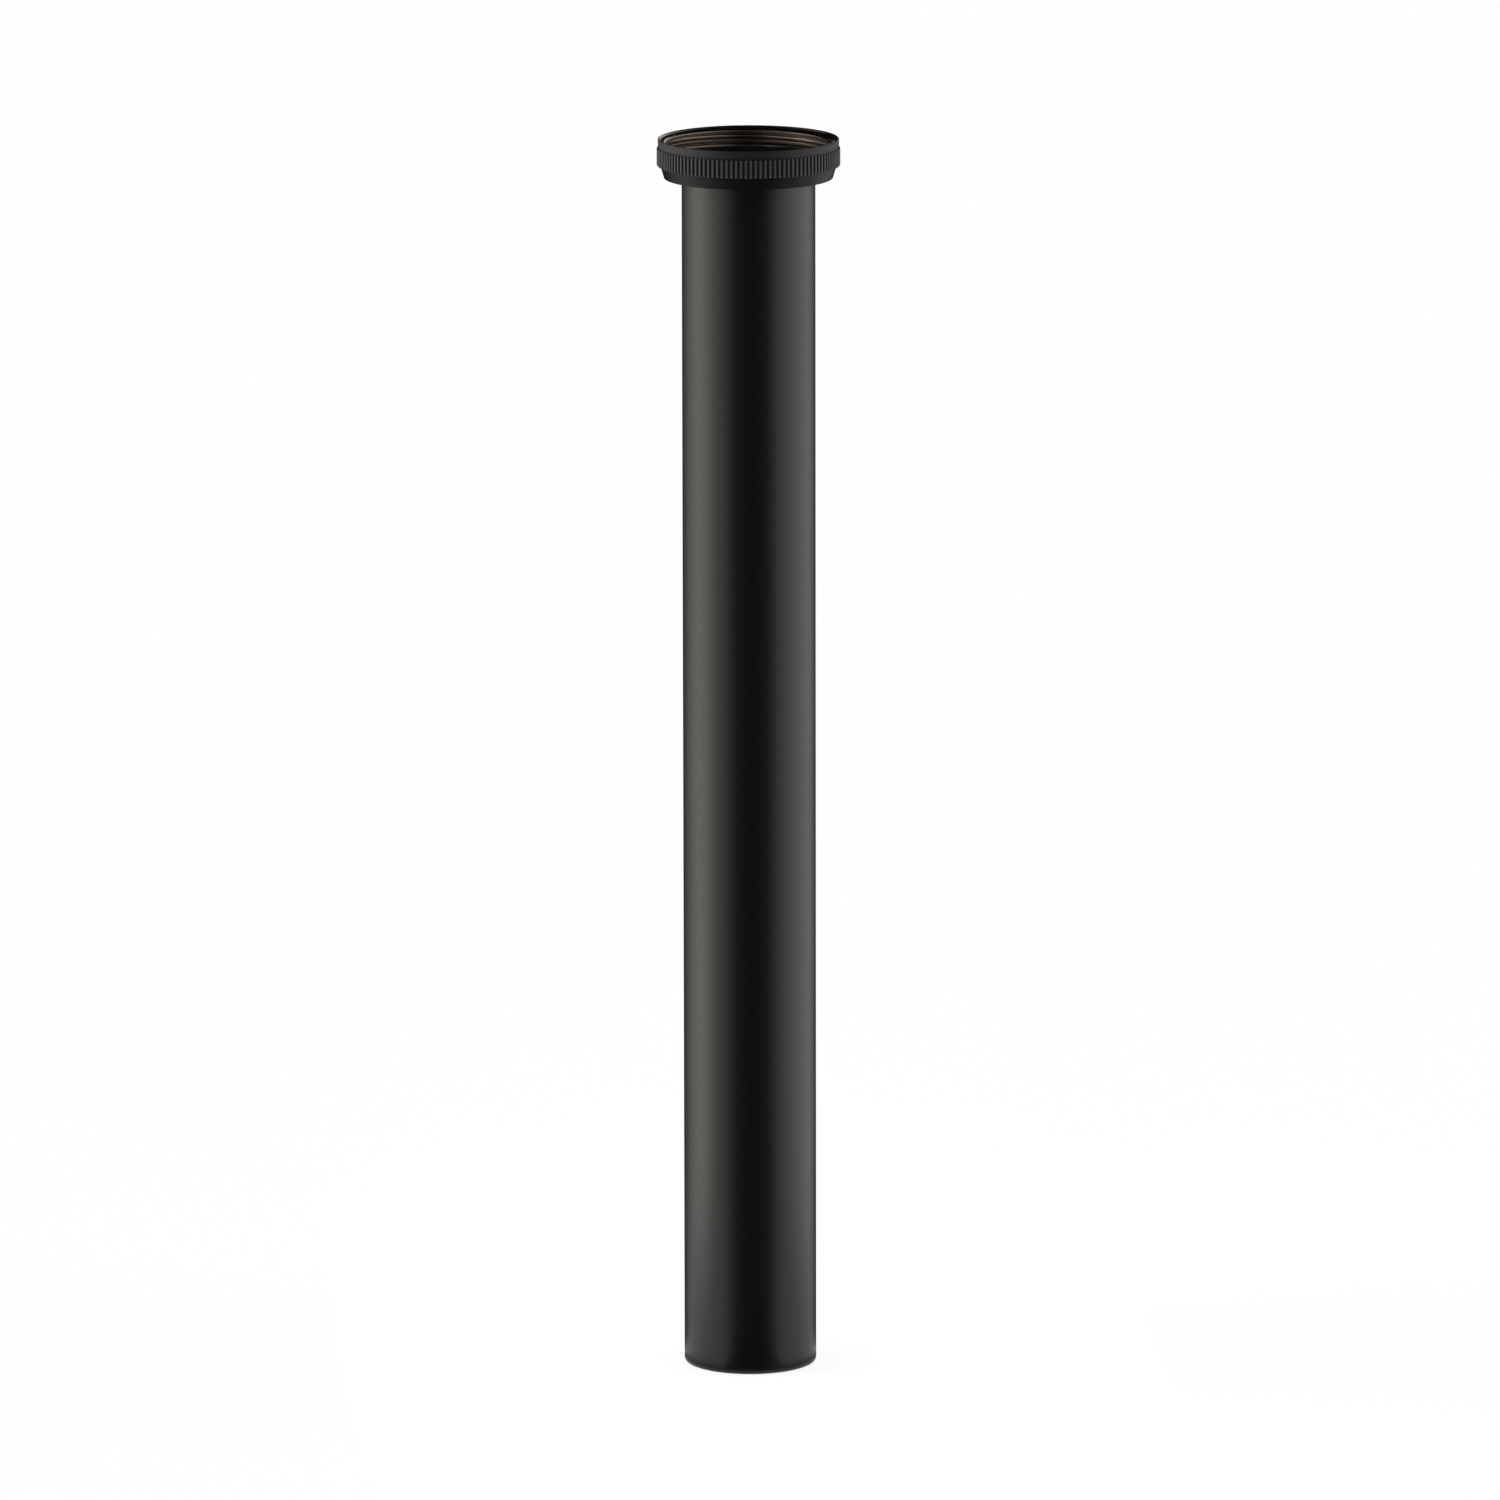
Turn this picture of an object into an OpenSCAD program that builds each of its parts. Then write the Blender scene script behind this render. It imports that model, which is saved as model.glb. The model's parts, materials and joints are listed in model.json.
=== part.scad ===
// Basin waste tail pipe: a straight flanged tube, its captive knurled union nut and a flat sealing washer.
// It stands upright on its cut end. The origin is the middle of that end and +Z runs up to the nut.

/* [Pipe] */
// Length over all, from the cut end of the pipe to the rim of the nut
overall_l = 300; // [60:1:600]
// Outside diameter of the pipe
pipe_od = 32; // [20:0.5:60]
// Wall of the pipe, and of the flange that is rolled from it
pipe_wall = 1.2; // [1:0.1:1.6]
// Radius inside the bend, under the flange
bend_r = 0.4; // [0.2:0.1:0.8]
// Radius on the outer edge of the cut end
foot_round = 0.8; // [0.2:0.1:0.9]

/* [Thread] */
// How much larger the major diameter of the thread is than the pipe
thread_over = 9.91; // [7:0.01:16]
// Pitch of that thread
thread_pitch = 2.309; // [1.2:0.001:2.6]
// Depth of the thread below the rim
thread_l = 4.9; // [4:0.1:12]
// Chamfer where the thread starts
entry_chamfer = 0.35; // [0.1:0.05:0.5]

/* [Union nut] */
// Wall of the lip, outside the thread
lip_wall = 0.7; // [0.6:0.05:2]
// Height of the plain lip below the rim
lip_h = 1.75; // [0.6:0.05:2.5]
// Width of the groove between the lip and the knurl
groove_w = 0.35; // [0.2:0.05:0.8]
// Depth of that groove in the lip
groove_depth = 0.2; // [0.1:0.05:0.4]
// How far the knurled band runs down past the end of the thread
knurl_over = 1.5; // [0.6:0.05:2]
// How far the ribs of the knurl stand out past the lip
knurl_rise = 0.3; // [0.2:0.05:1]
// Depth of the grooves between the ribs
knurl_depth = 0.45; // [0.2:0.05:0.5]
// Chamfer at the ends of the ribs
rib_chamfer = 0.2; // [0.05:0.05:0.25]
// Number of ribs round the band, an even number
knurl_count = 118; // [40:2:140]
// How far the body below the knurl steps in from the bottoms of the grooves
body_step = 0.4; // [0.3:0.05:1]
// How far that body narrows down to its foot, on the radius
body_taper = 0.9; // [0:0.05:1.5]
// Thickness of the floor that holds the flange
floor_t = 1.2; // [0.9:0.1:3]
// Small chamfer that breaks the sharp edges of the nut
edge_break = 0.15; // [0.05:0.05:0.2]

/* [Sealing washer] */
// Thickness of the washer
washer_t = 2; // [1:0.1:4]
// How far the hole of the washer stands back from the bore of the pipe
washer_setback = 0.7; // [0:0.1:1.5]

/* [Fits] */
// Gap on the radius between the flange or the washer and the bore of the nut
flange_clearance = 0.28; // [0.1:0.01:0.5]
// Gap on the radius between the pipe and the hole of the nut
hole_clearance = 0.6; // [0.1:0.05:0.8]
// Gap between the flange and the floor of the nut
seat_gap = 0.1; // [0.05:0.05:0.3]

/* [Hidden] */
$fn = 128;

// Height of a pipe thread, as a share of its pitch
thread_height_share = 0.640327;
// Width of a rib at its top and at its root, as shares of the pitch of the knurl
rib_top_share = 0.42;
rib_root_share = 0.72;
// How far a cutter runs past the face that it cuts
overrun = 0.5;

pipe_r = pipe_od / 2;
bore_r = pipe_r - pipe_wall;
thread_r = (pipe_od + thread_over) / 2;
seat_r = thread_r - thread_height_share * thread_pitch;
flange_r = seat_r - flange_clearance;

nut_h = thread_l + washer_t + pipe_wall + seat_gap + floor_t;
nut_z = overall_l - nut_h;
hole_r = pipe_r + hole_clearance;
hole_relief = bend_r + seat_gap;
lip_r = thread_r + lip_wall;
groove_r = lip_r - groove_depth;
rib_r = lip_r + knurl_rise;
root_r = rib_r - knurl_depth;
body_top_r = root_r - body_step;
body_foot_r = body_top_r - body_taper;
knurl_top = nut_h - lip_h - groove_w;
knurl_base = nut_h - thread_l - knurl_over;

pipe_l = overall_l - thread_l - washer_t;
bend_x = pipe_r + bend_r;
bend_z = pipe_l - pipe_wall - bend_r;

// Half of the pipe's section: the straight wall, the rolled bend and the flange
module pipe_section() {
    difference() {
        union() {
            translate([bore_r, 0]) square([pipe_wall, bend_z]);
            translate([bend_x, bend_z]) bend_section();
            translate([bend_x, pipe_l - pipe_wall]) square([flange_r - bend_x, pipe_wall]);
        }
        foot_cutter();
    }
}

// The bend: a quarter of a ring with the thickness of the wall
module bend_section() {
    intersection() {
        difference() {
            circle(bend_r + pipe_wall);
            circle(bend_r);
        }
        translate([-bend_r - pipe_wall, 0]) square(bend_r + pipe_wall);
    }
}

// What the rounding takes off the outer edge of the cut end
module foot_cutter() {
    difference() {
        translate([pipe_r - foot_round, -overrun]) square([foot_round + overrun, foot_round + overrun]);
        translate([pipe_r - foot_round, foot_round]) circle(foot_round);
    }
}

module tail_pipe() {
    color([0.11, 0.11, 0.11])
        rotate_extrude() pipe_section();
}

// Half of the nut's section, with the knurled band still plain, up from the foot of the nut
module nut_section() {
    polygon([
        [hole_r + edge_break, 0],
        [body_foot_r - edge_break, 0],
        [body_foot_r, edge_break],
        [body_top_r, knurl_base],
        [rib_r - rib_chamfer, knurl_base],
        [rib_r, knurl_base + rib_chamfer],
        [rib_r, knurl_top - rib_chamfer],
        [rib_r - rib_chamfer, knurl_top],
        [groove_r, knurl_top],
        [groove_r, knurl_top + groove_w],
        [lip_r, knurl_top + groove_w],
        [lip_r, nut_h - edge_break],
        [lip_r - edge_break, nut_h],
        [thread_r + entry_chamfer, nut_h],
        [thread_r, nut_h - entry_chamfer],
        [thread_r, nut_h - thread_l],
        [seat_r, nut_h - thread_l],
        [seat_r, floor_t],
        [hole_r + hole_relief, floor_t],
        [hole_r, floor_t - hole_relief],
        [hole_r, edge_break]
    ]);
}

// One gap between two ribs, seen from above: narrow at the root and wider at the top
module gap_outline() {
    rib_pitch = 2 * PI * rib_r / knurl_count;
    half_top = rib_pitch * (1 - rib_top_share) / 2;
    half_root = rib_pitch * (1 - rib_root_share) / 2;
    half_outer = half_top + (half_top - half_root) * overrun / knurl_depth;
    polygon([
        [root_r, -half_root],
        [rib_r + overrun, -half_outer],
        [rib_r + overrun, half_outer],
        [root_r, half_root]
    ]);
}

// All the gaps of the knurl, running out into the groove above and past the step below
module knurl_gaps() {
    translate([0, 0, knurl_base - overrun])
        linear_extrude(height = knurl_top - knurl_base + overrun + groove_w / 2)
            for (i = [0 : knurl_count - 1])
                rotate((i + 1 / 2) * 360 / knurl_count) gap_outline();
}

module union_nut() {
    color([0.1, 0.1, 0.1])
        translate([0, 0, nut_z])
            difference() {
                rotate_extrude() nut_section();
                knurl_gaps();
            }
}

// The flat ring that lies on the flange, inside the nut
module sealing_washer() {
    color([0.03, 0.03, 0.03])
        translate([0, 0, pipe_l])
            difference() {
                cylinder(r = flange_r, h = washer_t);
                translate([0, 0, -overrun])
                    cylinder(r = bore_r + washer_setback, h = washer_t + 2 * overrun);
            }
}

tail_pipe();
union_nut();
sealing_washer();
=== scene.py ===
"""Looks of the basin waste tail pipe: turned meshes, coats, a pale floor, soft studio light and the camera."""

import json
import math

import bpy
import numpy as np
from mathutils import Matrix, Vector


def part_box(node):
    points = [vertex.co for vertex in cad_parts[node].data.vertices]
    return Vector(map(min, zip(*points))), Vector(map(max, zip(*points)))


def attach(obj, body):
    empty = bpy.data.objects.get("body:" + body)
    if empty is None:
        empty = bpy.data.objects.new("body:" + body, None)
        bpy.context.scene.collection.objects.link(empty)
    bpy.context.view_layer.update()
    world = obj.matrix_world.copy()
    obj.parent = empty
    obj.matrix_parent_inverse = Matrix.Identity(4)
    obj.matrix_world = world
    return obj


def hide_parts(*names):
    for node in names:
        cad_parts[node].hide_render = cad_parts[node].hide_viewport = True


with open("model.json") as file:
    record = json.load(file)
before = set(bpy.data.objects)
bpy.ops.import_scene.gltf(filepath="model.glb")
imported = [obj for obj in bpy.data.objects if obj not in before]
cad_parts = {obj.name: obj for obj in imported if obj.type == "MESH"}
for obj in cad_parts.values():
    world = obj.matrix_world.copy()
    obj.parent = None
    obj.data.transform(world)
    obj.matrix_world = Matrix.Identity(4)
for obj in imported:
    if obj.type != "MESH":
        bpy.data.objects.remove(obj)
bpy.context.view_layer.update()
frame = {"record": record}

# Units and the record's own sizes
MM = 0.001
mounts = {mount["name"]: mount for mount in frame["record"]["mounts"]}
pipe_r = mounts["plain_end"]["dims"]["r_mm"] * MM
bore_r = mounts["waterway"]["dims"]["r_mm"] * MM
thread_r = mounts["waste_thread"]["dims"]["r_mm"] * MM
pipe_low, pipe_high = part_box("tail_pipe")
nut_low, nut_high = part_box("union_nut")
seal_low, seal_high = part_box("sealing_washer")

# Tube
BEND_R = 0.4 * MM
FOOT_ROUND = 0.8 * MM
BORE_EDGE_ROUND = 0.12 * MM
FLANGE_EDGE_ROUND = 0.15 * MM
TUBE_COLUMNS = 288

# Union nut
HOLE_CLEARANCE = 0.6 * MM
HOLE_RELIEF = 0.5 * MM
FLOOR_T = 1.2 * MM
ENTRY_CHAMFER = 0.35 * MM
LIP_WALL = 0.7 * MM
LIP_H = 1.75 * MM
GROOVE_W = 0.35 * MM
GROOVE_DEPTH = 0.2 * MM
KNURL_OVER = 1.5 * MM
KNURL_DEPTH = 0.45 * MM
RIB_CHAMFER = 0.2 * MM
BODY_STEP = 0.4 * MM
BODY_TAPER = 0.9 * MM
EDGE_ROUND = 0.15 * MM
FINE_ROUND = 0.06 * MM
RIB_COUNT = 118
# Places round one rib from its middle, as shares of its pitch, and its height there, as shares of its depth
RIB_PLACE_SHARES = (-0.36, -0.26, -0.15, 0, 0.15, 0.26, 0.36, 0.5)
RIB_HEIGHT_SHARES = (0, 0.74, 0.93, 1, 0.93, 0.74, 0, 0)
root_r = nut_high.x - KNURL_DEPTH
knurl_base = seal_high.z - KNURL_OVER
knurl_top = nut_high.z - LIP_H - GROOVE_W

# Thread
PITCH = 2.309 * MM
THREAD_HEIGHT_SHARE = 0.640327
THREAD_ROUND_SHARE = 0.137329
FLANK_ANGLE = math.radians(27.5)
THREAD_COLUMNS = 200
THREAD_BACKING = 0.05 * MM
WALL_SETBACK = 0.02 * MM
THREAD_TURN_SHARE = 0.34
CREST_DEPTH = 1.16 * MM
CREST_ROUND = 0.2 * MM
ENTRY_ROUND = 0.4 * MM
ENTRY_SLOPE = 2.2

# Washer
SEAL_HOLE_OVER = 0.7 * MM
SEAL_EDGE_ROUND = 0.2 * MM

# Largest turn of one facet along an arc, and the angle past which an edge is drawn sharp
ARC_STEP = math.radians(18)
SHARP_ANGLE = math.radians(40)

# Noise: its usual middle range, the nut's clouds in cells to the metre, and the detail of clouds and grain
NOISE_LOW = 0.3
NOISE_HIGH = 0.7
CLOUD_SCALE = 700
CLOUD_DETAIL = 3
GRAIN_DETAIL = 2
# How many times coarser the clouds of a plain coat are than its grain
CLOUD_COARSER = 6

# The tube's coat
TUBE_COLOURS = ((0.0028, 0.0028, 0.0028), (0.0036, 0.0036, 0.0036))
TUBE_ROUGHNESS = (0.405, 0.44)
TUBE_GLOSS = 0.4
TUBE_GRAIN = 3000
TUBE_RELIEF = 0.002 * MM

# The nut's coat by region, and the thread's metal. The ribs' paler colour is a painted highlight. The darker
# colours of the foot, the gaps and the rib ends are painted shade.
LIP_COLOURS = ((0.008, 0.008, 0.008), (0.01, 0.01, 0.01))
RIB_HIGHLIGHT_COLOURS = ((0.03, 0.03, 0.03), (0.034, 0.034, 0.034))
# Painted shade: the foot's cone faces down and is painted darker than the lip, and the gaps and rib ends take
# this colour too
FOOT_AND_GAP_SHADE_COLOURS = ((0.0034, 0.0034, 0.0034), (0.0044, 0.0044, 0.0044))
# Painted shade in the gaps between the ribs, with less gloss than the ribs
GAP_SHADE_COLOURS = ((0.007, 0.007, 0.007), (0.009, 0.009, 0.009))
GAP_SHADE_SHARE = 0.7
# How far inside and outside the bottoms of the gaps the middles of their faces may lie, to take the painted
# shade
GAP_REACH_IN = 0.03 * MM
GAP_REACH_OUT = 0.22 * MM
LIP_GLOSS = 0.43
FOOT_GLOSS = 0.08
NUT_ROUGHNESS = (0.7, 0.76)
FOOT_ROUGHNESS = (0.38, 0.42)
NUT_GRAIN = 4000
NUT_RELIEF = 0.003 * MM
METAL_COLOURS = ((0.285, 0.245, 0.208), (0.315, 0.271, 0.23))
METAL_ROUGHNESS = (0.28, 0.3)
ENTRY_COLOURS = ((0.001, 0.001, 0.001), (0.002, 0.002, 0.002))
COATED_DEPTH = 0.7 * MM

# The washer's rubber
RUBBER_COLOURS = ((0.0015, 0.0015, 0.0015), (0.003, 0.003, 0.003))
RUBBER_ROUGHNESS = (0.9, 1)
RUBBER_GLOSS = 0.1
RUBBER_BLOOM = 900
RUBBER_BLOOM_DETAIL = 4
RUBBER_GRAIN = 9000
RUBBER_RELIEF = 0.02 * MM

# Camera: where the photo was taken from, in metres, its aim in degrees and its focal length in photo pixels
CAMERA_SIDE = 0.000133
CAMERA_BACK = 3.0554538
CAMERA_UP = 0.7570068
CAMERA_PITCH = 11.2167
CAMERA_ROLL = -0.0959
PHOTO_WIDTH = 1500
FOCAL_PIXELS = 12920.97
SENSOR_MM = 36

# Studio
FLOOR_SIZE = 40
FLOOR_COLOUR = (0.98, 0.98, 0.98, 1)
FLOOR_WHITE_SHARE = 0.8
SKY_LEVEL = 1.0
FLAG_STEPS = 24
FLAG_FOOT_R = 0.017
FLAG_FOOT_Z = 0.0005
# Each flag's middle and half, in degrees round the object, its distance and its top
FLAGS = {
    "front_flag": (3.1, 30, 0.032, 0.56),
    "back_flag": (181.6, 66, 0.034, 0.302),
    "back_left_flag": (206, 24, 0.16, 0.42),
    # A low black ring round the foot, seen only in reflections: a painted contact shadow on the floor
    "painted_contact_shadow": (0, 180, 0.0185, 0.0007),
}
# Each softbox's place, in degrees round the object, its distance, width, level and colour
BOX_TOP = 0.34
SOFTBOXES = {
    "left_box": (-85.5, 0.1, 0.0657, 2.26, (1, 0.955, 0.84)),
    "right_box": (94.1, 0.1, 0.1056, 0.9, (1, 1, 1)),
}
TOP_CARD_Z = 0.36
TOP_CARD_HALF = 0.058
TOP_CARD_FRONT = 0.08
TOP_CARD_BACK = 0.16


def rounded_outline(corners):
    """The closed outline through corners of radius, height and rounding, with an arc at each rounded one."""
    points = []
    for i, (radius, height, rounding) in enumerate(corners):
        here = Vector((radius, height))
        if rounding == 0:
            points.append(here)
            continue
        back = (Vector(corners[i - 1][:2]) - here).normalized()
        on = (Vector(corners[(i + 1) % len(corners)][:2]) - here).normalized()
        half = back.angle(on) / 2
        centre = here + (back + on).normalized() * rounding / math.sin(half)
        start = here + back * rounding / math.tan(half)
        end = here + on * rounding / math.tan(half)
        steps = max(2, math.ceil((math.pi - 2 * half) / ARC_STEP))
        for step in range(steps + 1):
            ray = start.lerp(end, step / steps) - centre
            points.append(centre + ray.normalized() * rounding)
    return np.array(points)


def ring_mesh(name, radii, heights, angles):
    """A closed ring from grids of radii and heights: a row for each outline point, a column for each angle."""
    rows, columns = radii.shape
    x = radii * np.cos(angles)
    y = radii * np.sin(angles)
    vertices = np.stack([x, y, heights], axis=-1).reshape(-1, 3)
    faces = []
    for row in range(rows):
        following = (row + 1) % rows
        for column in range(columns):
            beside = (column + 1) % columns
            faces.append((
                row * columns + beside,
                following * columns + beside,
                following * columns + column,
                row * columns + column,
            ))
    mesh = bpy.data.meshes.new(name)
    mesh.from_pydata(vertices.tolist(), [], faces)
    mesh.validate()
    mesh.shade_smooth()
    mesh.set_sharp_from_angle(angle=SHARP_ANGLE)
    piece = bpy.data.objects.new(name, mesh)
    bpy.context.scene.collection.objects.link(piece)
    return piece


def turned(name, corners, columns):
    """A turned ring: the rounded outline of its corners, swept once round the axis."""
    outline = rounded_outline(corners)
    angles = np.linspace(0, 2 * math.pi, columns, endpoint=False)
    radii = np.repeat(outline[:, :1], columns, axis=1)
    heights = np.repeat(outline[:, 1:], columns, axis=1)
    return ring_mesh(name, radii, heights, angles)


def make_tube():
    """The tube with its flange. Its outline runs up the outside and down the bore."""
    wall = pipe_r - bore_r
    foot, top = pipe_low.z, pipe_high.z
    corners = [
        (pipe_r, foot, FOOT_ROUND),
        (pipe_r, top - wall, BEND_R),
        (pipe_high.x, top - wall, FLANGE_EDGE_ROUND),
        (pipe_high.x, top, FLANGE_EDGE_ROUND),
        (bore_r, top, BEND_R + wall),
        (bore_r, foot, BORE_EDGE_ROUND),
    ]
    return turned("tube", corners, TUBE_COLUMNS)


def make_washer():
    """The flat rubber ring on the flange."""
    inner = bore_r + SEAL_HOLE_OVER
    corners = [
        (seal_high.x, seal_low.z, SEAL_EDGE_ROUND),
        (seal_high.x, seal_high.z, SEAL_EDGE_ROUND),
        (inner, seal_high.z, SEAL_EDGE_ROUND),
        (inner, seal_low.z, SEAL_EDGE_ROUND),
    ]
    return turned("seal", corners, TUBE_COLUMNS)


def make_nut():
    """The nut with its ribs. Its outline runs up the outside and down through the thread's bore."""
    foot, rim = nut_low.z, nut_high.z
    thread_end = seal_high.z
    floor_top = foot + FLOOR_T
    hole_r = pipe_r + HOLE_CLEARANCE
    wall_r = thread_r + WALL_SETBACK
    seat_r = thread_r - THREAD_HEIGHT_SHARE * PITCH
    lip_r = thread_r + LIP_WALL
    rib_r = nut_high.x
    body_r = root_r - BODY_STEP
    corners = [
        (hole_r, foot, EDGE_ROUND),
        (body_r - BODY_TAPER, foot, EDGE_ROUND),
        (body_r, knurl_base, FINE_ROUND),
        (rib_r - RIB_CHAMFER, knurl_base, FINE_ROUND),
        (rib_r, knurl_base + RIB_CHAMFER, FINE_ROUND),
        (rib_r, knurl_top - RIB_CHAMFER, FINE_ROUND),
        (rib_r - RIB_CHAMFER, knurl_top, FINE_ROUND),
        (lip_r - GROOVE_DEPTH, knurl_top, FINE_ROUND / 2),
        (lip_r - GROOVE_DEPTH, knurl_top + GROOVE_W, FINE_ROUND),
        (lip_r, knurl_top + GROOVE_W, FINE_ROUND),
        (lip_r, rim, EDGE_ROUND),
        (thread_r + ENTRY_CHAMFER, rim, FINE_ROUND),
        (wall_r, rim - ENTRY_CHAMFER, FINE_ROUND),
        (wall_r, thread_end, FINE_ROUND),
        (seat_r, thread_end, FINE_ROUND),
        (seat_r, floor_top, FINE_ROUND),
        (hole_r + HOLE_RELIEF, floor_top, FINE_ROUND),
        (hole_r, floor_top - HOLE_RELIEF, FINE_ROUND),
    ]
    outline = rounded_outline(corners)
    shares = np.add.outer(np.arange(RIB_COUNT), np.array(RIB_PLACE_SHARES)).ravel()
    angles = shares * 2 * math.pi / RIB_COUNT
    ribs = np.tile(np.array(RIB_HEIGHT_SHARES, float), RIB_COUNT)
    radii = np.repeat(outline[:, :1], len(angles), axis=1)
    heights = np.repeat(outline[:, 1:], len(angles), axis=1)
    band = (radii > root_r) & (heights < knurl_top + GROOVE_W / 2)
    radii = np.where(band, np.minimum(radii, root_r + KNURL_DEPTH * ribs), radii)
    return ring_mesh("knurled_nut", radii, heights, angles)


def thread_depth(phase):
    """How far the bored ridge stands in from the major radius. Phase 0 is its crest, and 0.5 is its root."""
    along = np.abs(phase - np.round(phase)) * PITCH
    height = THREAD_HEIGHT_SHARE * PITCH
    rounding = THREAD_ROUND_SHARE * PITCH
    arc_width = rounding * math.cos(FLANK_ANGLE)
    arc_height = rounding * (1 - math.sin(FLANK_ANGLE))
    from_root = PITCH / 2 - along
    crest = height - rounding + np.sqrt(np.maximum(rounding**2 - along**2, 0))
    root = rounding - np.sqrt(np.maximum(rounding**2 - from_root**2, 0))
    flank = height - arc_height - (along - arc_width) / math.tan(FLANK_ANGLE)
    full = np.where(along < arc_width, crest, np.where(from_root < arc_width, root, flank))
    return soft_minimum(full, CREST_DEPTH, CREST_ROUND)


def soft_minimum(first, second, rounding):
    """The lesser of two depths, rounded where they cross."""
    share = np.clip(0.5 + (second - first) / (2 * rounding), 0, 1)
    return second + (first - second) * share - rounding * share * (1 - share)


def make_thread():
    """The right-hand ridges on the wall of the nut's mouth, cut back by the entry chamfer.

    The helix climbs one row for each column, so the diagonals of the faces run along it.
    """
    low, high = seal_high.z, nut_high.z - ENTRY_CHAMFER
    angles = np.linspace(0, 2 * math.pi, THREAD_COLUMNS, endpoint=False)
    step = PITCH / THREAD_COLUMNS
    rows = np.append(low + step * np.arange(round((high - low) / step)), high)[::-1]
    heights = np.repeat(rows[:, None], THREAD_COLUMNS, axis=1)
    phase = (heights - low) / PITCH - angles / (2 * math.pi) - THREAD_TURN_SHARE
    entry = ENTRY_SLOPE * (high - heights)
    ridge = np.maximum(soft_minimum(thread_depth(phase), entry, ENTRY_ROUND), 0)
    radii = thread_r - ridge
    back_r = np.full((2, THREAD_COLUMNS), thread_r + THREAD_BACKING)
    back_z = np.repeat([[low], [high]], THREAD_COLUMNS, axis=1)
    return ring_mesh("thread_ridges", np.vstack([radii, back_r]), np.vstack([heights, back_z]), angles)


def new_material(name):
    """A node material, with its tree, its Principled shader and a maker of linked nodes."""
    material = bpy.data.materials.new(name)
    material.use_nodes = True
    tree = material.node_tree
    return material, tree, tree.nodes["Principled BSDF"]


def noise(tree, scale, detail):
    """Noise over the object's own coordinates, with its scale in cells to the metre."""
    place = tree.nodes.new("ShaderNodeTexCoord")
    cloud = tree.nodes.new("ShaderNodeTexNoise")
    cloud.inputs["Scale"].default_value = scale
    cloud.inputs["Detail"].default_value = detail
    tree.links.new(place.outputs["Object"], cloud.inputs["Vector"])
    return cloud.outputs["Fac"]


def spread(tree, value, low, high):
    """A noise value mapped from its usual middle range to low and high."""
    span = tree.nodes.new("ShaderNodeMapRange")
    span.inputs["From Min"].default_value = NOISE_LOW
    span.inputs["From Max"].default_value = NOISE_HIGH
    span.inputs["To Min"].default_value = low
    span.inputs["To Max"].default_value = high
    tree.links.new(value, span.inputs["Value"])
    return span.outputs["Result"]


def mixed_colour(tree, value, low, high):
    """A colour between low and high, by a noise value."""
    mix = tree.nodes.new("ShaderNodeMix")
    mix.data_type = "RGBA"
    mix.inputs["A"].default_value = (*low, 1)
    mix.inputs["B"].default_value = (*high, 1)
    tree.links.new(value, mix.inputs["Factor"])
    return mix.outputs["Result"]


def bumped(tree, shader, height, depth):
    """The fine relief of a coat, as bump."""
    bump = tree.nodes.new("ShaderNodeBump")
    bump.inputs["Strength"].default_value = 1
    bump.inputs["Distance"].default_value = depth
    tree.links.new(height, bump.inputs["Height"])
    tree.links.new(bump.outputs["Normal"], shader.inputs["Normal"])


def past(tree, output, limit, operation):
    """1 where a measure of the object's own place is past a limit, and 0 elsewhere."""
    step = tree.nodes.new("ShaderNodeMath")
    step.operation = operation
    step.inputs[1].default_value = limit
    tree.links.new(output, step.inputs[0])
    return step.outputs["Value"]


def both(tree, first, second):
    """1 where both masks are 1."""
    product = tree.nodes.new("ShaderNodeMath")
    product.operation = "MULTIPLY"
    tree.links.new(first, product.inputs[0])
    tree.links.new(second, product.inputs[1])
    return product.outputs["Value"]


def own_place(tree):
    """The three parts of a place on the object."""
    place = tree.nodes.new("ShaderNodeTexCoord")
    split = tree.nodes.new("ShaderNodeSeparateXYZ")
    tree.links.new(place.outputs["Object"], split.inputs["Vector"])
    return split.outputs


def own_radius(tree):
    """The distance from the object's axis."""
    split = own_place(tree)
    flat = tree.nodes.new("ShaderNodeCombineXYZ")
    length = tree.nodes.new("ShaderNodeVectorMath")
    length.operation = "LENGTH"
    tree.links.new(split["X"], flat.inputs["X"])
    tree.links.new(split["Y"], flat.inputs["Y"])
    tree.links.new(flat.outputs["Vector"], length.inputs[0])
    return length.outputs["Value"]


def chosen(tree, mask, kind, off, on):
    """One of two values or colours, by a mask. Each may be a plain value or a linked output."""
    mix = tree.nodes.new("ShaderNodeMix")
    mix.data_type = kind
    tree.links.new(mask, mix.inputs["Factor"])
    for socket, value in (("A", off), ("B", on)):
        target = next(one for one in mix.inputs if one.name == socket and one.enabled)
        if isinstance(value, bpy.types.NodeSocket):
            tree.links.new(value, target)
        else:
            target.default_value = value
    return next(one for one in mix.outputs if one.enabled)


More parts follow.
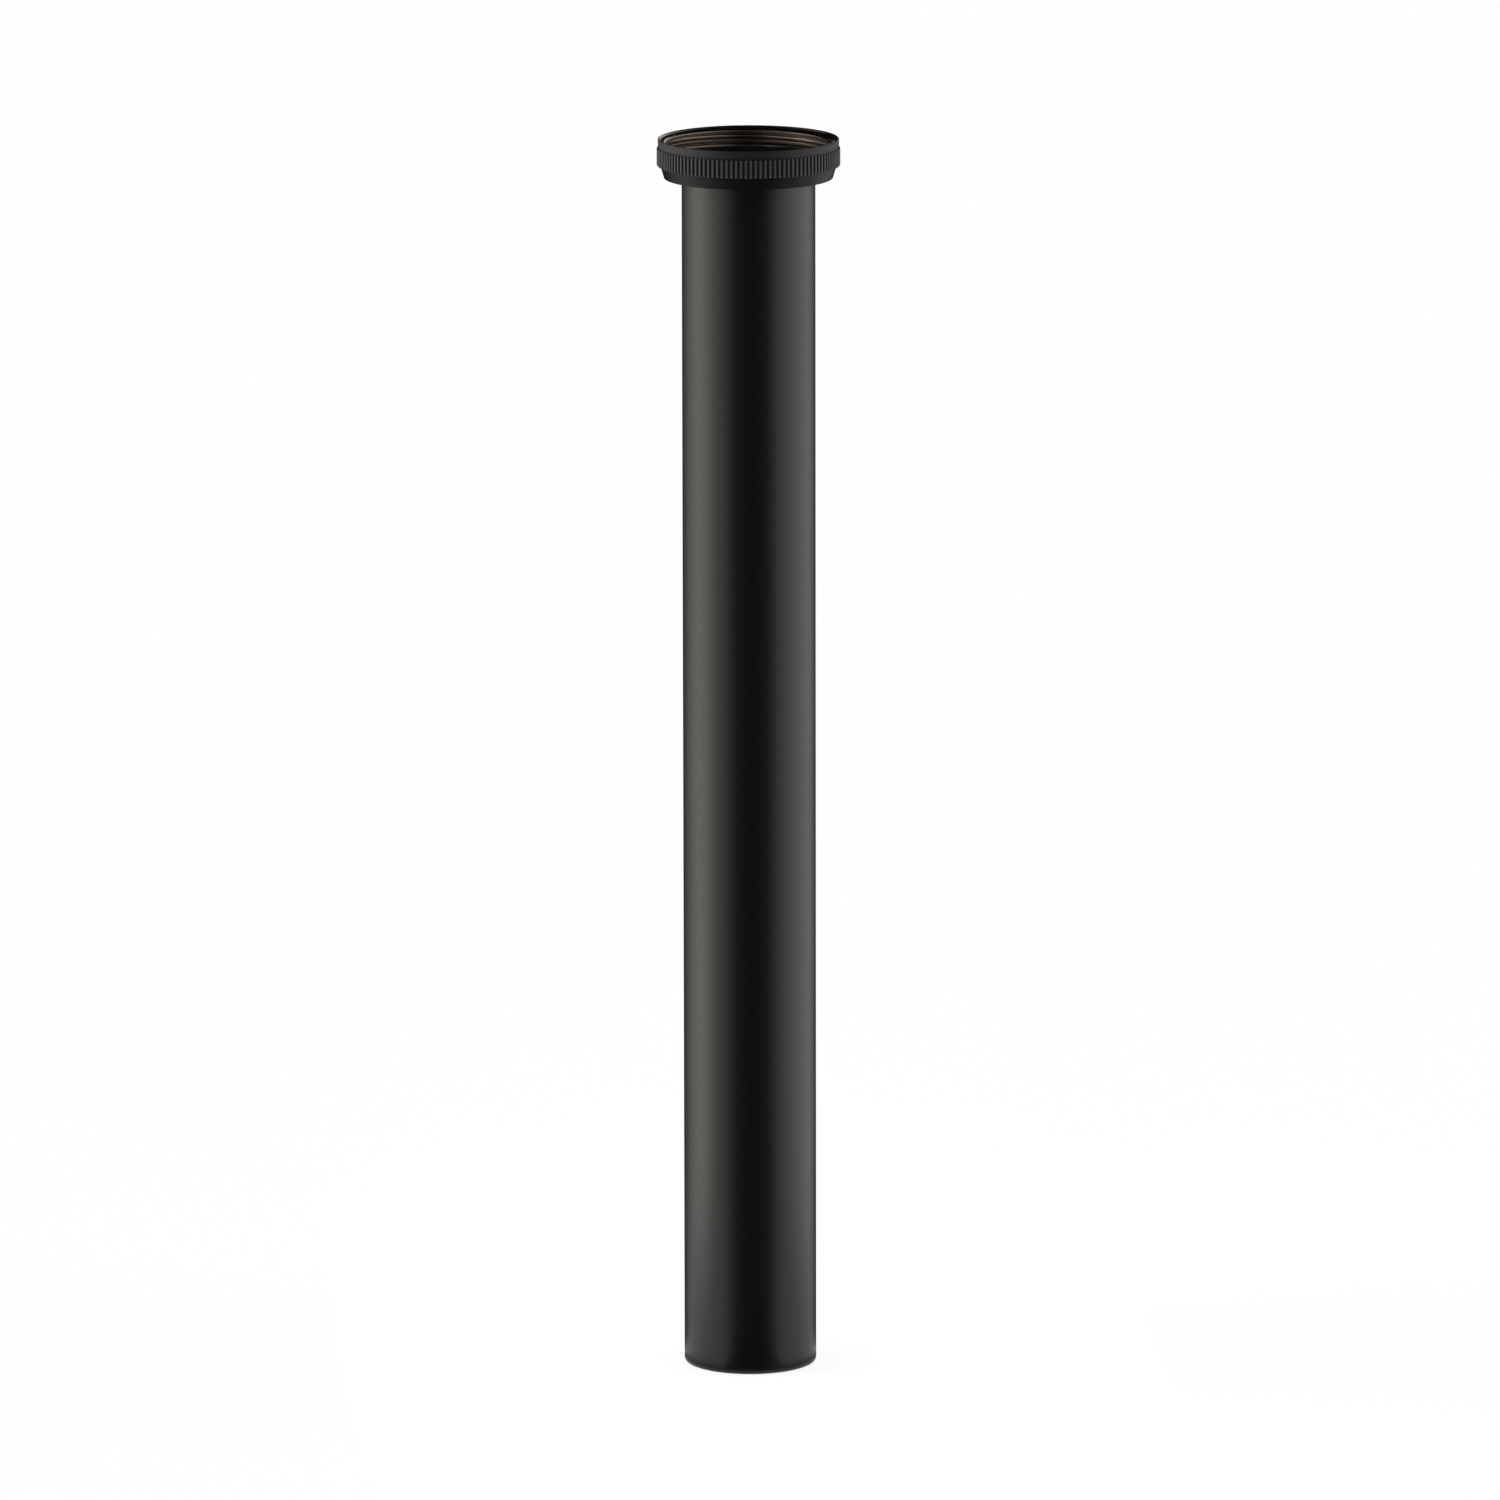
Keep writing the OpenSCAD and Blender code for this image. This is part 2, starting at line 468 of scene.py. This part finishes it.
def nut_finish(name, gap_r, mouth_low, mouth_r):
    """The nut's coat: full on the lip, a painted highlight that makes the ribs paler, painted shade that makes
    their gaps and ends darker, and bare metal in the mouth.
    """
    material, tree, shader = new_material(name)
    cloud = noise(tree, CLOUD_SCALE, CLOUD_DETAIL)
    height = own_place(tree)["Z"]
    radius = own_radius(tree)
    below_lip = past(tree, height, knurl_top, "LESS_THAN")
    ribs = both(tree, below_lip, past(tree, radius, gap_r, "GREATER_THAN"))
    above = past(tree, height, mouth_low, "GREATER_THAN")
    mouth = both(tree, above, past(tree, radius, mouth_r, "LESS_THAN"))
    colour = mixed_colour(tree, cloud, *LIP_COLOURS)
    # Below the lip the coat takes the darker colour: painted shade on the foot, in the gaps and at the rib ends
    colour = chosen(tree, below_lip, "RGBA", colour, mixed_colour(tree, cloud, *FOOT_AND_GAP_SHADE_COLOURS))
    # Painted highlight: the rib crests take a colour paler than the lip's
    colour = chosen(tree, ribs, "RGBA", colour, mixed_colour(tree, cloud, *RIB_HIGHLIGHT_COLOURS))
    colour = chosen(tree, mouth, "RGBA", colour, mixed_colour(tree, cloud, *METAL_COLOURS))
    coated = spread(tree, cloud, *NUT_ROUGHNESS)
    bare = spread(tree, cloud, *METAL_ROUGHNESS)
    tree.links.new(colour, shader.inputs["Base Color"])
    tree.links.new(chosen(tree, mouth, "FLOAT", coated, bare), shader.inputs["Roughness"])
    shader.inputs["Specular IOR Level"].default_value = LIP_GLOSS
    tree.links.new(mouth, shader.inputs["Metallic"])
    bumped(tree, shader, noise(tree, NUT_GRAIN, GRAIN_DETAIL), NUT_RELIEF)
    return material


def thread_metal(name, metal_top):
    """The thread's dark brown metal, where the coat is thin. Above metal_top the coat is full and black."""
    material, tree, shader = new_material(name)
    cloud = noise(tree, CLOUD_SCALE, CLOUD_DETAIL)
    metal = past(tree, own_place(tree)["Z"], metal_top, "LESS_THAN")
    black = mixed_colour(tree, cloud, *ENTRY_COLOURS)
    brown = mixed_colour(tree, cloud, *METAL_COLOURS)
    coated = spread(tree, cloud, *NUT_ROUGHNESS)
    bare = spread(tree, cloud, *METAL_ROUGHNESS)
    tree.links.new(chosen(tree, metal, "RGBA", black, brown), shader.inputs["Base Color"])
    tree.links.new(chosen(tree, metal, "FLOAT", coated, bare), shader.inputs["Roughness"])
    tree.links.new(metal, shader.inputs["Metallic"])
    shader.inputs["Specular IOR Level"].default_value = FOOT_GLOSS
    return material


def coat(name, colours, roughness, gloss, grain, depth):
    """A sprayed black coat: mottled a little in colour and roughness, with the fine peel of a spray."""
    material, tree, shader = new_material(name)
    cloud = noise(tree, grain / CLOUD_COARSER, CLOUD_DETAIL)
    peel = noise(tree, grain, GRAIN_DETAIL)
    tree.links.new(mixed_colour(tree, cloud, *colours), shader.inputs["Base Color"])
    tree.links.new(spread(tree, cloud, *roughness), shader.inputs["Roughness"])
    shader.inputs["Specular IOR Level"].default_value = gloss
    bumped(tree, shader, peel, depth)
    return material


def rubber(name):
    """Flat black rubber, with a fine grain and a little bloom."""
    material, tree, shader = new_material(name)
    bloom = noise(tree, RUBBER_BLOOM, RUBBER_BLOOM_DETAIL)
    grain = noise(tree, RUBBER_GRAIN, GRAIN_DETAIL)
    tree.links.new(mixed_colour(tree, bloom, *RUBBER_COLOURS), shader.inputs["Base Color"])
    tree.links.new(spread(tree, bloom, *RUBBER_ROUGHNESS), shader.inputs["Roughness"])
    shader.inputs["Specular IOR Level"].default_value = RUBBER_GLOSS
    bumped(tree, shader, grain, RUBBER_RELIEF)
    return material


def seen_share(tree, share):
    """The share of the plain white, for what camera, glossy and transmission rays see."""
    path = tree.nodes.new("ShaderNodeLightPath")
    total = path.outputs["Is Camera Ray"]
    for kind in ("Is Glossy Ray", "Is Transmission Ray"):
        add = tree.nodes.new("ShaderNodeMath")
        add.operation = "ADD"
        add.use_clamp = True
        tree.links.new(total, add.inputs[0])
        tree.links.new(path.outputs[kind], add.inputs[1])
        total = add.outputs["Value"]
    scale = tree.nodes.new("ShaderNodeMath")
    scale.operation = "MULTIPLY"
    scale.inputs[1].default_value = share
    tree.links.new(total, scale.inputs[0])
    return scale.outputs["Value"]


def make_floor():
    """The plain pale floor, which is also the background.

    Part of its white is its own light, and its diffuse part keeps the shadow.
    """
    half = FLOOR_SIZE / 2
    mesh = bpy.data.meshes.new("floor")
    corners = [(-half, -half, 0), (half, -half, 0), (half, half, 0), (-half, half, 0)]
    mesh.from_pydata(corners, [], [(0, 1, 2, 3)])
    floor = bpy.data.objects.new("floor", mesh)
    bpy.context.scene.collection.objects.link(floor)
    material = bpy.data.materials.new("floor_white")
    material.use_nodes = True
    material.cycles.emission_sampling = "NONE"
    tree = material.node_tree
    tree.nodes.clear()
    paper = tree.nodes.new("ShaderNodeBsdfDiffuse")
    paper.inputs["Color"].default_value = FLOOR_COLOUR
    white = tree.nodes.new("ShaderNodeEmission")
    mix = tree.nodes.new("ShaderNodeMixShader")
    out = tree.nodes.new("ShaderNodeOutputMaterial")
    tree.links.new(seen_share(tree, FLOOR_WHITE_SHARE), mix.inputs["Fac"])
    tree.links.new(paper.outputs["BSDF"], mix.inputs[1])
    tree.links.new(white.outputs["Emission"], mix.inputs[2])
    tree.links.new(mix.outputs["Shader"], out.inputs["Surface"])
    mesh.materials.append(material)


def make_world():
    """A soft light from all round, seen as plain white."""
    world = bpy.data.worlds.new("studio")
    bpy.context.scene.world = world
    world.use_nodes = True
    world.cycles.sampling_method = "NONE"
    tree = world.node_tree
    tree.nodes.clear()
    soft = tree.nodes.new("ShaderNodeBackground")
    soft.inputs["Strength"].default_value = SKY_LEVEL
    soft.inputs["Color"].default_value = (1, 1, 1, 1)
    white = tree.nodes.new("ShaderNodeBackground")
    white.inputs["Color"].default_value = (1, 1, 1, 1)
    mix = tree.nodes.new("ShaderNodeMixShader")
    out = tree.nodes.new("ShaderNodeOutputWorld")
    tree.links.new(seen_share(tree, 1), mix.inputs["Fac"])
    tree.links.new(soft.outputs["Background"], mix.inputs[1])
    tree.links.new(white.outputs["Background"], mix.inputs[2])
    tree.links.new(mix.outputs["Shader"], out.inputs["Surface"])


def make_card(name, vertices, faces):
    """A black card that only the object's reflections see."""
    material, tree, shader = new_material(name + "_black")
    shader.inputs["Base Color"].default_value = (0, 0, 0, 1)
    shader.inputs["Specular IOR Level"].default_value = 0
    mesh = bpy.data.meshes.new(name)
    mesh.from_pydata(vertices, [], faces)
    mesh.materials.append(material)
    card = bpy.data.objects.new(name, mesh)
    bpy.context.scene.collection.objects.link(card)
    card.visible_camera = False
    card.visible_diffuse = False
    card.visible_shadow = False
    card.visible_transmission = False


def make_flag(name, middle, half, distance, top):
    """A card bent round the object, with a foot that lies on the floor. Angles are from the camera's side."""
    vertices = []
    for step in range(FLAG_STEPS + 1):
        turn = math.radians(middle - half + 2 * half * step / FLAG_STEPS)
        x, y = math.sin(turn), -math.cos(turn)
        vertices.append((FLAG_FOOT_R * x, FLAG_FOOT_R * y, FLAG_FOOT_Z))
        vertices.append((distance * x, distance * y, FLAG_FOOT_Z))
        vertices.append((distance * x, distance * y, top))
    per_step = len(vertices) // (FLAG_STEPS + 1)
    faces = []
    for step in range(FLAG_STEPS):
        first = step * per_step
        beside = first + per_step
        faces.append((first, beside, beside + 1, first + 1))
        faces.append((first + 1, beside + 1, beside + 2, first + 2))
    make_card(name, vertices, faces)


def make_top_card():
    """A level card over the object, which reaches further to the back."""
    corners = [
        (-TOP_CARD_HALF, -TOP_CARD_FRONT, TOP_CARD_Z),
        (TOP_CARD_HALF, -TOP_CARD_FRONT, TOP_CARD_Z),
        (TOP_CARD_HALF, TOP_CARD_BACK, TOP_CARD_Z),
        (-TOP_CARD_HALF, TOP_CARD_BACK, TOP_CARD_Z),
    ]
    make_card("top_card", corners, [(0, 1, 2, 3)])


def make_softbox(name, turn, distance, width, level, colour):
    """A soft lamp at a turn from the camera's side, from the floor up, facing the axis. Level 1 is white."""
    lamp = bpy.data.lights.new(name, "AREA")
    lamp.shape = "RECTANGLE"
    lamp.size = width
    lamp.size_y = BOX_TOP
    lamp.energy = level * math.pi * width * BOX_TOP
    lamp.color = colour
    box = bpy.data.objects.new(name, lamp)
    bpy.context.scene.collection.objects.link(box)
    angle = math.radians(turn)
    box.location = (distance * math.sin(angle), -distance * math.cos(angle), BOX_TOP / 2)
    inward = Vector((-math.sin(angle), math.cos(angle), 0))
    box.rotation_euler = inward.to_track_quat("-Z", "Y").to_euler()
    box.visible_camera = False


def make_camera():
    """The camera at the photo's place and angle."""
    data = bpy.data.cameras.new("camera")
    data.sensor_width = SENSOR_MM
    data.lens = FOCAL_PIXELS / PHOTO_WIDTH * SENSOR_MM
    camera = bpy.data.objects.new("camera", data)
    bpy.context.scene.collection.objects.link(camera)
    place = Matrix.Translation((CAMERA_SIDE, -CAMERA_BACK, CAMERA_UP))
    aim = Matrix.Rotation(math.radians(90 - CAMERA_PITCH), 4, "X")
    roll = Matrix.Rotation(math.radians(CAMERA_ROLL), 4, "Z")
    camera.matrix_world = place @ aim @ roll
    bpy.context.scene.camera = camera


def finish_piece(piece, body, slot, material, *nodes):
    """The piece's coat and body, and the solids that it stands for, which it hides. Its slot is not used."""
    piece.data.materials.append(material)
    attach(piece, body)
    if nodes:
        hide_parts(*nodes)


def coat_faces(piece, material, low, high, inner, outer):
    """A further coat, on the faces whose middles lie between two heights and between two radii."""
    piece.data.materials.append(material)
    index = len(piece.data.materials) - 1
    for face in piece.data.polygons:
        if low < face.center.z < high and inner < face.center.xy.length < outer:
            face.material_index = index


tube_coat = coat("satin_black", TUBE_COLOURS, TUBE_ROUGHNESS, TUBE_GLOSS, TUBE_GRAIN, TUBE_RELIEF)
# The foot's own finish is duller in gloss and roughness, and its darker colour is painted shade on its
# down-facing cone
foot_shade_coat = coat("foot_shaded_black", FOOT_AND_GAP_SHADE_COLOURS, FOOT_ROUGHNESS, FOOT_GLOSS, NUT_GRAIN, NUT_RELIEF)
# Painted shade in the gaps between the ribs
gap_shade_coat = coat("gap_shade_black", GAP_SHADE_COLOURS, NUT_ROUGHNESS, FOOT_GLOSS, NUT_GRAIN, NUT_RELIEF)
gap_shade_r = nut_high.x - KNURL_DEPTH * GAP_SHADE_SHARE
nut_coat = nut_finish("matt_black", gap_shade_r, seal_high.z, thread_r + ENTRY_CHAMFER)
thread_coat = thread_metal("thread_brown", nut_high.z - COATED_DEPTH)

finish_piece(make_tube(), "pipe", "pipe_finish", tube_coat, "tail_pipe")
finish_piece(make_washer(), "pipe", "seal_rubber", rubber("black_rubber"), "sealing_washer")
knurled_nut = make_nut()
finish_piece(knurled_nut, "nut", "nut_finish", nut_coat, "union_nut")
foot_top = knurl_base + FINE_ROUND
# Painted shade on the foot's faces
coat_faces(knurled_nut, foot_shade_coat, 0, foot_top, 0, nut_high.x)
# Painted shade on the faces in the gaps between the ribs
coat_faces(knurled_nut, gap_shade_coat, foot_top, knurl_top, root_r - GAP_REACH_IN, root_r + GAP_REACH_OUT)
finish_piece(make_thread(), "nut", "nut_finish", thread_coat)

make_floor()
make_world()
for flag_name, flag_values in FLAGS.items():
    make_flag(flag_name, *flag_values)
make_top_card()
for box_name, box_values in SOFTBOXES.items():
    make_softbox(box_name, *box_values)
make_camera()

bpy.context.scene.view_settings.view_transform = "Standard"
